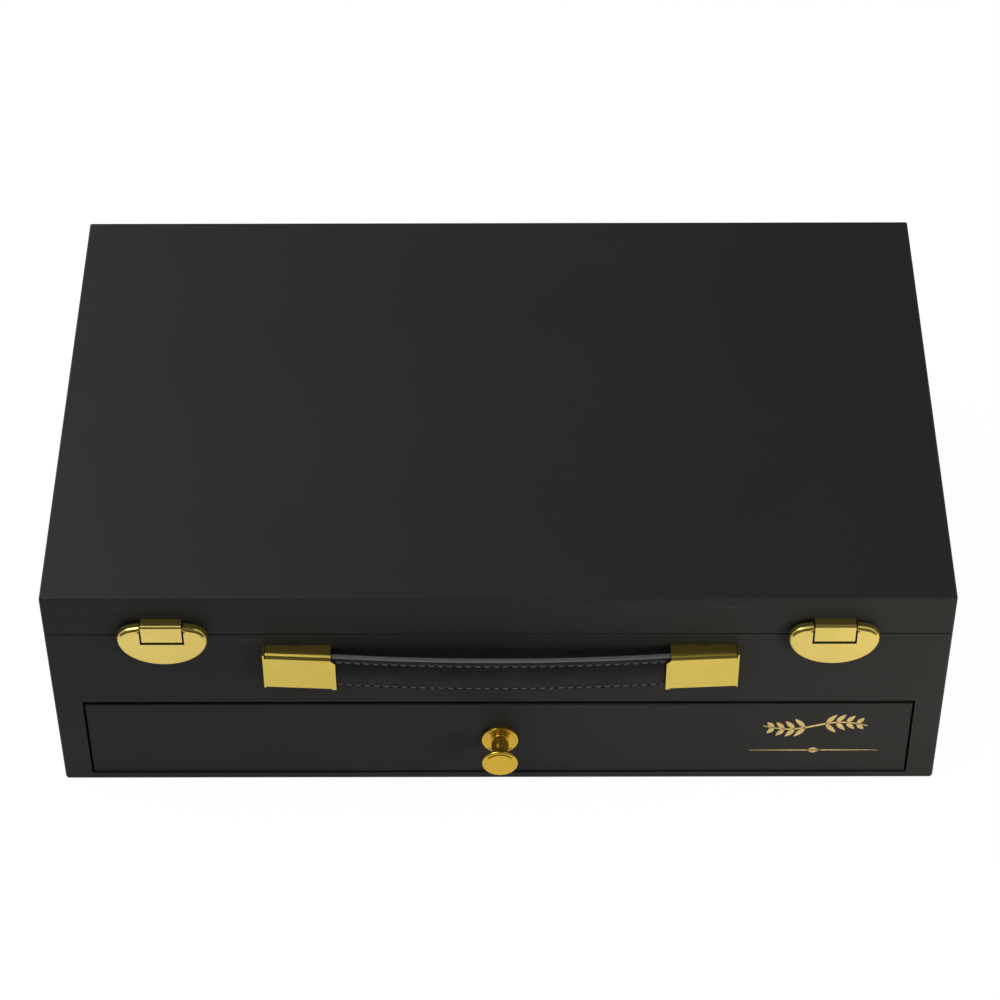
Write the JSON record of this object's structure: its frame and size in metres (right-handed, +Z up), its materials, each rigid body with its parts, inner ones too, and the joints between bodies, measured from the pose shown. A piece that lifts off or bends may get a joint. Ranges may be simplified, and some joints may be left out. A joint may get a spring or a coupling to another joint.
{
  "type": "oil paint box",
  "caption": "Black lacquered wooden artist's case with a latched lid over a tube tray, a drawer below, brass fittings and a strap handle.",
  "frame": {"origin": "centre of the case's flat underside", "axes": "+Z up, -Y out of the front with the drawer, +X to the right seen from the front"},
  "size_m": [0.42, 0.2841, 0.1295],
  "materials": {
    "black_lacquer": "satin black lacquer over wood board",
    "drawer_wood": "plain pine, oiled",
    "tray_wood": "plain pine, oiled",
    "lining": "black felt",
    "brass": "polished brass plating",
    "stay_brass": "satin brass plating",
    "screw_steel": "brass plated steel",
    "leather": "smooth black leather",
    "tube_foil": "painted aluminium foil",
    "tube_cap_plastic": "ribbed plastic",
    "bottle_glass": "clear",
    "bottle_cap_plastic": "ribbed plastic",
    "palette_wood": "varnished plywood",
    "brush_lacquer": "lacquered",
    "ferrule_metal": "seamless ferrule",
    "brush_hair": "hog bristle",
    "knife_wood": "turned, lacquered",
    "knife_steel": "spring steel"
  },
  "bodies": {
    "base": {"base_front_board": "black_lacquer", "base_back_board": "black_lacquer", "base_left_board": "black_lacquer", "base_right_board": "black_lacquer", "bottom_board": "black_lacquer", "deck_board": "black_lacquer", "drawer_guide_strips": "drawer_wood", "drawer_stop_blocks": "drawer_wood", "hinge_base_leaf_left": "brass", "hinge_base_leaf_right": "brass", "hinge_pins": "brass", "base_wood_screws": "screw_steel", "latch_strikes": "brass", "handle_cap_left": "brass", "handle_cap_right": "brass", "handle_strap_studs": "screw_steel", "handle_strap_ends": "leather", "stay_base_rivet": "stay_brass", "tube_tray": "tray_wood", "paint_tubes": "tube_foil", "paint_tube_caps": "tube_cap_plastic", "wood_palette": "palette_wood"},
    "lid": {"lid_top_panel": "black_lacquer", "lid_front_board": "black_lacquer", "lid_back_board": "black_lacquer", "lid_left_board": "black_lacquer", "lid_right_board": "black_lacquer", "lid_lining": "lining", "hinge_lid_leaf_left": "brass", "hinge_lid_leaf_right": "brass", "lid_wood_screws": "screw_steel", "latch_bracket_left": "brass", "latch_bracket_right": "brass", "latch_pins": "brass", "stay_lid_rivet": "stay_brass"},
    "drawer": {"drawer_front": "black_lacquer", "drawer_left_side": "drawer_wood", "drawer_right_side": "drawer_wood", "drawer_back": "drawer_wood", "drawer_floor": "drawer_wood", "drawer_long_divider": "drawer_wood", "drawer_cross_divider": "drawer_wood", "knob_rosette": "brass", "drawer_knob": "brass", "knob_screw": "screw_steel", "oil_bottles": "bottle_glass", "oil_bottle_caps": "bottle_cap_plastic", "brush_handles": "brush_lacquer", "brush_ferrules": "ferrule_metal", "brush_hair": "brush_hair", "palette_knife_handle": "knife_wood", "palette_knife_blade": "knife_steel"},
    "latch_lever_left": {"latch_lever_left": "brass"},
    "latch_lever_right": {"latch_lever_right": "brass"},
    "handle": {"handle_strap": "leather"},
    "stay_base_link": {"stay_base_link": "stay_brass", "stay_elbow_rivet": "stay_brass"},
    "stay_lid_link": {"stay_lid_link": "stay_brass"}
  },
  "joints": [
    {"name": "lid_hinge", "type": "hinge", "parent": "base", "child": "lid", "pos_m": [0, 0.1341, 0.1053], "axis": [-1, 0, 0], "range_deg": [0, 100]},
    {"name": "drawer_slide", "type": "slide", "parent": "base", "child": "drawer", "axis": [0, -1, 0], "range_m": [0, 0.2]},
    {"name": "latch_left", "type": "hinge", "parent": "lid", "child": "latch_lever_left", "pos_m": [-0.155, -0.1347, 0.1127], "axis": [-1, 0, 0], "range_deg": [0, 100]},
    {"name": "latch_right", "type": "hinge", "parent": "lid", "child": "latch_lever_right", "pos_m": [0.155, -0.1347, 0.1127], "axis": [-1, 0, 0], "range_deg": [0, 100]},
    {"name": "handle_pull", "type": "slide", "parent": "base", "child": "handle", "axis": [0, -1, 0], "range_m": [0, 0.02]},
    {"name": "stay_base_pivot", "type": "hinge", "parent": "base", "child": "stay_base_link", "pos_m": [0.1978, 0.05958, 0.0968], "axis": [-1, 0, 0], "range_deg": [0, 100]},
    {"name": "stay_lid_pivot", "type": "hinge", "parent": "lid", "child": "stay_lid_link", "pos_m": [0.1962, 0.05958, 0.1138], "axis": [-1, 0, 0], "range_deg": [-100, 0]}
  ],
  "couplings": [
    {"joint": "stay_base_pivot", "follows": "lid_hinge", "ratio": 1},
    {"joint": "stay_lid_pivot", "follows": "lid_hinge", "ratio": -1}
  ]
}
